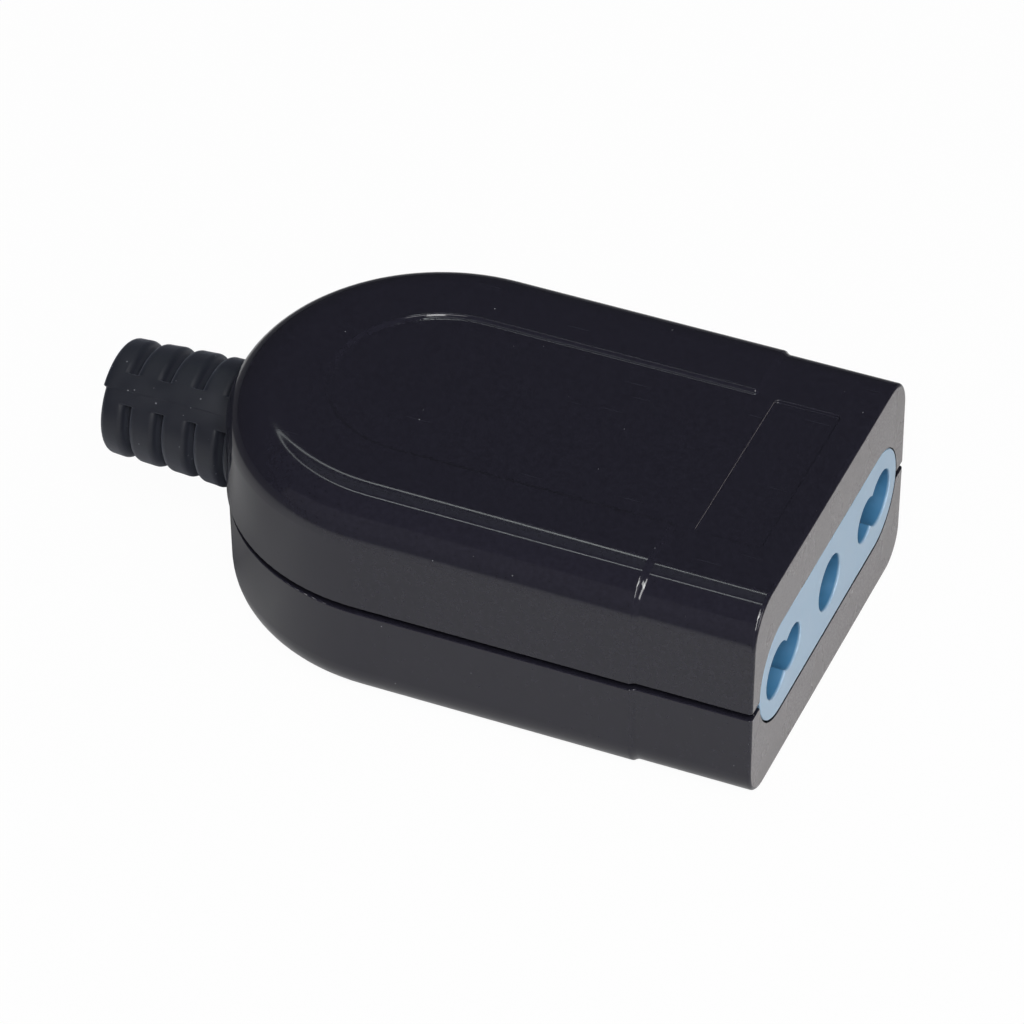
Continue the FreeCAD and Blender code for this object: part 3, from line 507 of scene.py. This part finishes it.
def boot_sleeve():
    """Ribbed boot: a closed profile of bore, end, sleeve, neck and flange carried round the cord's axis.
    The grooves lower its radius, a thin flash raises it at the parting, and the lower half sits off along X."""
    end_x = boot_low.x
    sleeve_x = sleeve_rows()
    taper = np.clip((BOOT_WALL_X - sleeve_x) / (BOOT_WALL_X - end_x), 0.0, 1.0)
    sleeve_r = BOOT_ROOT_RADIUS + (BOOT_END_RADIUS - BOOT_ROOT_RADIUS) * taper
    bend = np.linspace(0.0, np.pi / 2, ROUND_ROWS)[:-1]
    rim_x = end_x + END_ROUND - END_ROUND * np.cos(bend)
    rim_r = sleeve_r[0] - END_ROUND + END_ROUND * np.sin(bend)
    bore_x = np.array([boot_high.x, *BORE_ROWS_X, end_x + MOUTH_BREAK, end_x + MOUTH_MIDDLE, end_x])
    bore_r = BORE_RADIUS + np.array([0.0] * (len(bore_x) - 2) + [MOUTH_MIDDLE, MOUTH_BREAK])
    flange_edge = np.array([FLANGE_BREAK, FLANGE_MIDDLE, 0.0])
    flange_x = np.concatenate([BOOT_SEAT_X + flange_edge[::-1], boot_high.x - flange_edge])
    flange_r = flange_radius - np.concatenate([flange_edge, flange_edge[::-1]])

    profile_x = np.concatenate([bore_x, rim_x, sleeve_x, flange_x])[:, None]
    profile_r = np.concatenate([bore_r, rim_r, sleeve_r, flange_r])[:, None]
    outer = np.concatenate([np.zeros(len(bore_x)), np.linspace(0.0, 1.0, len(rim_x)),
                            np.ones(len(sleeve_x)), np.zeros(len(flange_x))])[:, None]
    shown = outer * np.clip((BOOT_WALL_X - profile_x) / FLASH_FADE, 0.0, 1.0)
    angle = turns_round()

    cut_depth = groove_depth(profile_x, angle, profile_r) * outer
    from_seam = np.radians((angle - SEAM_DEGREES + 90.0) % 180.0 - 90.0) * profile_r
    # Two sine waves of unlike length make the flash ragged along the boot
    ragged = 0.55 + 0.3 * np.sin(2.1 * profile_x) + 0.25 * np.sin(5.3 * profile_x + 1.0)
    flash = FLASH_HEIGHT * np.clip(ragged, 0.1, 1.0) * np.exp(-(from_seam / FLASH_WIDTH) ** 2) * shown
    lower_half = 0.5 - 0.5 * np.tanh(np.sin(np.radians(SEAM_DEGREES - angle)) * HALF_SHARPNESS)
    uneven = UNEVEN * (np.sin(np.radians(3 * angle) + 0.9 * profile_x)
                       + np.sin(np.radians(2 * angle) - 1.7 * profile_x))
    grooved = profile_r - np.minimum(cut_depth, profile_r - BORE_RADIUS)
    radius = grooved + flash + (uneven - HALF_SHRINK * lower_half) * shown
    x = profile_x + HALF_STEP * lower_half * np.clip((BOOT_WALL_X - profile_x) / HALF_FADE, 0.0, 1.0)
    sag = np.interp(profile_x, SAG_X, SAG_Z)
    points = np.stack([x + 0 * radius, radius * np.cos(np.radians(angle)),
                       boot_axis_z + sag + radius * np.sin(np.radians(angle))], axis=-1)
    faces = grid_faces(points.shape[0], points.shape[1], True, True)
    return mesh_piece("boot_sleeve", points, faces, boot_black, sharp_degrees=38.0)


boot = boot_sleeve()
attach(boot, "socket")
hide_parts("boot")


# Shutter springs
SPRING_TURNS = 8
SPRING_WIRE = 0.25
# Share of the height that each end coil climbs, and the points per turn and round the wire
END_COIL_RISE = 0.14
TURN_POINTS = 28
WIRE_POINTS = 10


def coil_springs(low, high):
    """Two compression springs: a round wire carried along a helix that slows to closed coils at both ends."""
    step = np.linspace(0.0, 1.0, SPRING_TURNS * TURN_POINTS + 1)
    turn = 2 * np.pi * SPRING_TURNS * step
    wire = SPRING_WIRE / 2
    rise = np.interp(step * SPRING_TURNS, [0.0, 1.0, SPRING_TURNS - 1.0, SPRING_TURNS],
                     [0.0, END_COIL_RISE, 1.0 - END_COIL_RISE, 1.0])
    height = low.z + wire + (high.z - low.z - SPRING_WIRE) * rise
    coil = (high.x - low.x) / 2 - wire
    round_wire = np.linspace(0.0, 2 * np.pi, WIRE_POINTS, endpoint=False)
    reach = coil + wire * np.cos(round_wire)[None, :]
    tubes, faces = [], []
    for number, y in enumerate((low.y + coil + wire, high.y - coil - wire)):
        x = (low.x + high.x) / 2 + reach * np.cos(turn)[:, None]
        across = y + reach * np.sin(turn)[:, None]
        z = height[:, None] + wire * np.sin(round_wire)[None, :]
        tubes.append(np.stack([x, across, z], axis=-1).reshape(-1, 3))
        first = number * len(step) * WIRE_POINTS
        last = first + (len(step) - 1) * WIRE_POINTS
        faces += (grid_faces(len(step), WIRE_POINTS, False, True)[:, ::-1] + first).tolist()
        faces += [list(range(first, first + WIRE_POINTS)),
                  list(range(last + WIRE_POINTS - 1, last - 1, -1))]
    return mesh_piece("coil_springs", np.concatenate(tubes), faces, spring_steel, sharp_degrees=40.0)


springs = coil_springs(spring_low, spring_high)
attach(springs, "socket")
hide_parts("shutter_springs")
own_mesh(springs)


# Stage: white floor, studio light and camera

# Share of plain white in the floor, as the camera sees it and as the case mirrors it
FLOOR_SEEN = 0.97
FLOOR_MIRRORED = 0.05
# In the gloss the floor is painted darker from this far out from the part's middle: a painted reflection of a
# dark room
FLOOR_FADE = {"From Min": 0.060, "From Max": 0.085}
# Painted shadow of the case in the gloss: on the side away from the lamps, measured along Y less X, the
# mirrored floor is painted darker near the round back of the case
LEE_SIDE = {"From Min": 0.001, "From Max": 0.015}
BACK_CENTRE = (-0.0028, 0.0, 0.0)
BACK_SHADE = {"From Min": 0.020, "From Max": 0.032, "To Min": 1.0, "To Max": 0.3}
# The floor lies a hair below the underside, so that no two faces share a plane
FLOOR_DROP = 0.02 * MM
FLOOR_REACH = 4.0


def white_floor():
    """White paper: plain white to the camera but for the soft shadow of the object. In the case's gloss the
    paper carries a painted shadow on the lee side near the case's back, and is painted darker a few centimetres
    out. Clear from below."""
    material = bpy.data.materials.new("white_paper")
    tree = empty_tree(material)
    path = add(tree, "ShaderNodeLightPath")
    place = add(tree, "ShaderNodeTexCoord").outputs["Object"]
    away = add(tree, "ShaderNodeVectorMath", {0: place}, operation="LENGTH").outputs["Value"]
    # Painted reflection: mirrored rays see the floor turn dark from this distance on
    painted_far_dimming = add(tree, "ShaderNodeMapRange", {"Value": away, **FLOOR_FADE})
    across = add(tree, "ShaderNodeSeparateXYZ", {"Vector": place})
    behind = add(tree, "ShaderNodeMath", {0: across.outputs["Y"], 1: across.outputs["X"]},
                 operation="SUBTRACT")
    lee = add(tree, "ShaderNodeMapRange", {"Value": behind.outputs["Value"], **LEE_SIDE})
    from_back = add(tree, "ShaderNodeVectorMath", {0: place, 1: BACK_CENTRE}, operation="DISTANCE")
    # Painted shadow: darkest next to the round back of the case, on the lee side
    painted_contact_shadow = add(tree, "ShaderNodeMapRange", {"Value": from_back.outputs["Value"], **BACK_SHADE})
    painted_lee_shadow = add(tree, "ShaderNodeMath", {0: lee.outputs["Result"], 1: painted_contact_shadow.outputs["Result"]},
                operation="MULTIPLY")
    painted_dimming = add(tree, "ShaderNodeMath", {0: painted_far_dimming.outputs["Result"], 1: painted_lee_shadow.outputs["Value"]},
              operation="MAXIMUM").outputs["Value"]
    mirrored = add(tree, "ShaderNodeMath", {
        0: path.outputs["Is Glossy Ray"], 1: path.outputs["Is Transmission Ray"]},
        operation="MAXIMUM").outputs["Value"]
    # Painted shade: in the gloss the floor's colour goes towards dark grey by the painted fade and the painted
    # shadow
    dark = add(tree, "ShaderNodeMath", {0: mirrored, 1: painted_dimming}, operation="MULTIPLY").outputs["Value"]
    white = add(tree, "ShaderNodeMix", {
        "Factor": dark, "A": linear("#ffffff"), "B": linear("#68686c")}, data_type="RGBA")
    sheet = add(tree, "ShaderNodeMix", {
        "Factor": dark, "A": linear("#d6d6d6"), "B": linear("#68686c")}, data_type="RGBA")
    paper = add(tree, "ShaderNodeBsdfDiffuse", {"Color": sheet.outputs["Result"]})
    glow = add(tree, "ShaderNodeEmission", {"Color": white.outputs["Result"], "Strength": 1.0})
    seen = add(tree, "ShaderNodeMath", {0: path.outputs["Is Camera Ray"], 1: FLOOR_SEEN},
               operation="MULTIPLY")
    share = add(tree, "ShaderNodeMath", {0: mirrored, 1: FLOOR_MIRRORED, 2: seen.outputs["Value"]},
                operation="MULTIPLY_ADD")
    mixed = add(tree, "ShaderNodeMixShader", {
        "Fac": share.outputs["Value"], 1: paper.outputs["BSDF"], 2: glow.outputs["Emission"]})
    under = add(tree, "ShaderNodeNewGeometry").outputs["Backfacing"]
    clear = add(tree, "ShaderNodeBsdfTransparent")
    one_sided = add(tree, "ShaderNodeMixShader", {
        "Fac": under, 1: mixed.outputs["Shader"], 2: clear.outputs["BSDF"]})
    add(tree, "ShaderNodeOutputMaterial", {"Surface": one_sided.outputs["Shader"]})
    mesh = bpy.data.meshes.new("floor")
    corners = [(x * FLOOR_REACH, y * FLOOR_REACH, -FLOOR_DROP)
               for x, y in ((-1, -1), (1, -1), (1, 1), (-1, 1))]
    mesh.from_pydata(corners, [], [(0, 1, 2, 3)])
    mesh.materials.append(material)
    floor = bpy.data.objects.new("floor", mesh)
    bpy.context.scene.collection.objects.link(floor)


# Oval ring lamp overhead: it draws the two fine lines along the rounded edges
RING_CENTRE = (-0.246, 0.244, 0.62)
RING_HALF_AXES = (0.275, 0.169)
RING_TURN = 130.6
RING_TUBE = 0.009
RING_POINTS = 96
TUBE_POINTS = 12
# Its radiance falls towards its left end
RING_RADIANCE = {"From Min": -0.42, "From Max": -0.14, "To Min": 2.5, "To Max": 5.5}


def ring_lamp():
    """Oval tube lamp: a small circle carried round an oval, dimmer towards its left end."""
    material = bpy.data.materials.new("ring_glow")
    tree = empty_tree(material)
    place = add(tree, "ShaderNodeTexCoord").outputs["Object"]
    along = add(tree, "ShaderNodeSeparateXYZ", {"Vector": place})
    strength = add(tree, "ShaderNodeMapRange", {"Value": along.outputs["X"], **RING_RADIANCE})
    glow = add(tree, "ShaderNodeEmission", {
        "Color": linear("#f2faf8"), "Strength": strength.outputs["Result"]})
    add(tree, "ShaderNodeOutputMaterial", {"Surface": glow.outputs["Emission"]})
    around = np.linspace(0.0, 2 * np.pi, RING_POINTS, endpoint=False)[:, None]
    tube = np.linspace(0.0, 2 * np.pi, TUBE_POINTS, endpoint=False)[None, :]
    long = (RING_HALF_AXES[0] + RING_TUBE * np.cos(tube)) * np.cos(around)
    short = (RING_HALF_AXES[1] + RING_TUBE * np.cos(tube)) * np.sin(around)
    turn = math.radians(RING_TURN)
    points = np.stack([RING_CENTRE[0] + long * math.cos(turn) - short * math.sin(turn),
                       RING_CENTRE[1] + long * math.sin(turn) + short * math.cos(turn),
                       RING_CENTRE[2] + RING_TUBE * np.sin(tube) + 0 * around], axis=-1) / MM
    faces = grid_faces(RING_POINTS, TUBE_POINTS, True, True)
    ring = mesh_piece("ring_lamp", points, faces, material, sharp_degrees=60.0)
    ring.visible_camera = False


def soft_lamp(name, centre, size, radiance, colour, target, mirrored):
    """Area lamp at a place, turned to a target; its power gives the radiance it shows in a mirror."""
    lamp = bpy.data.lights.new(name, "AREA")
    lamp.shape = "RECTANGLE"
    lamp.size, lamp.size_y = size
    lamp.energy = math.pi * size[0] * size[1] * radiance
    lamp.color = linear(colour)[:3]
    holder = bpy.data.objects.new(name, lamp)
    holder.location = centre
    holder.rotation_mode = "QUATERNION"
    holder.rotation_quaternion = (Vector(target) - Vector(centre)).to_track_quat("-Z", "Y")
    holder.visible_glossy = mirrored
    bpy.context.scene.collection.objects.link(holder)


PART_MIDDLE = (0.0, 0.0, 0.012)
ABOVE_RING = (RING_CENTRE[0], RING_CENTRE[1], RING_CENTRE[2] + 0.03)
BELOW_RING = (RING_CENTRE[0], RING_CENTRE[1], 0.0)
# Lamps: name, centre, size, radiance, colour, where it points, and whether the gloss mirrors it
LAMPS = (
    ("softbox", (0.22, -0.415, 0.647), (0.62, 0.14), 8.0, "#ffffff", PART_MIDDLE, True),
    ("strip", (0.23, -0.43, 0.53), (0.15, 0.70), 8.0, "#ffffff", PART_MIDDLE, True),
    ("window", (0.58, -0.08, 0.17), (0.30, 0.30), 2.6, "#ffffff", PART_MIDDLE, True),
    ("overhead", (0.2, -0.3, 1.3), (2.0, 2.0), 0.45, "#ffffff", PART_MIDDLE, False),
    ("front fill", (-0.2, -1.1, 0.55), (2.2, 0.9), 0.15, "#ffffff", PART_MIDDLE, False),
    ("front wall", (-0.4, -1.0, 0.40), (2.8, 0.8), 0.15, "#f4f2ff", (-0.4, 0.0, 0.40), True),
    ("glow", ABOVE_RING, (0.3, 0.3), 0.15, "#e2f2ee", BELOW_RING, True),
)
ROOM_STRENGTH = 0.04


def studio():
    """Dark room: a softbox and a strip above the camera light the part, a window at the right lights the
    socket face, soft fills come from overhead and in front, and the ring lamp hangs behind."""
    world = bpy.data.worlds.new("room")
    tree = empty_tree(world)
    sky = add(tree, "ShaderNodeBackground", {"Color": linear("#d9dbe4"), "Strength": ROOM_STRENGTH})
    add(tree, "ShaderNodeOutputWorld", {"Surface": sky.outputs["Background"]})
    bpy.context.scene.world = world
    for lamp in LAMPS:
        soft_lamp(*lamp)
    ring_lamp()


# Camera, as found from the outlines of the pin holes: where it looks from, its roll and its lens
CAMERA_AZIMUTH = 22.804
CAMERA_ELEVATION = 39.504
CAMERA_ROLL = 0.164
CAMERA_DISTANCE = 533.456
CAMERA_TARGET = (5.15, 0.0, (block_low.z + block_high.z) / 2)
CAMERA_SLIDE = (0.786, 1.173)
CAMERA_LENS_PIXELS = 5862.548
CAMERA_CLIP = (0.01, 20.0)
IMAGE_PIXELS = 1024
SENSOR = 36.0


def camera():
    """Camera that looks at the target from the fitted direction, slid sideways to the picture's framing."""
    az, el, roll = (math.radians(a) for a in (CAMERA_AZIMUTH, CAMERA_ELEVATION, CAMERA_ROLL))
    back = Vector((math.sin(az) * math.cos(el), -math.cos(az) * math.cos(el), math.sin(el)))
    level = Vector((math.cos(az), math.sin(az), 0.0))
    above = back.cross(level)
    right = level * math.cos(roll) + above * math.sin(roll)
    up = above * math.cos(roll) - level * math.sin(roll)
    eye = Vector(CAMERA_TARGET) + back * CAMERA_DISTANCE - right * CAMERA_SLIDE[0] - up * CAMERA_SLIDE[1]
    data = bpy.data.cameras.new("camera")
    data.sensor_width = SENSOR
    data.lens = CAMERA_LENS_PIXELS / IMAGE_PIXELS * SENSOR
    data.clip_start, data.clip_end = CAMERA_CLIP
    holder = bpy.data.objects.new("camera", data)
    turn = Matrix((right, up, back)).transposed().to_4x4()
    holder.matrix_world = Matrix.Translation(eye * MM) @ turn
    bpy.context.scene.collection.objects.link(holder)
    bpy.context.scene.camera = holder


white_floor()
studio()
camera()
bpy.context.scene.view_settings.view_transform = "Standard"
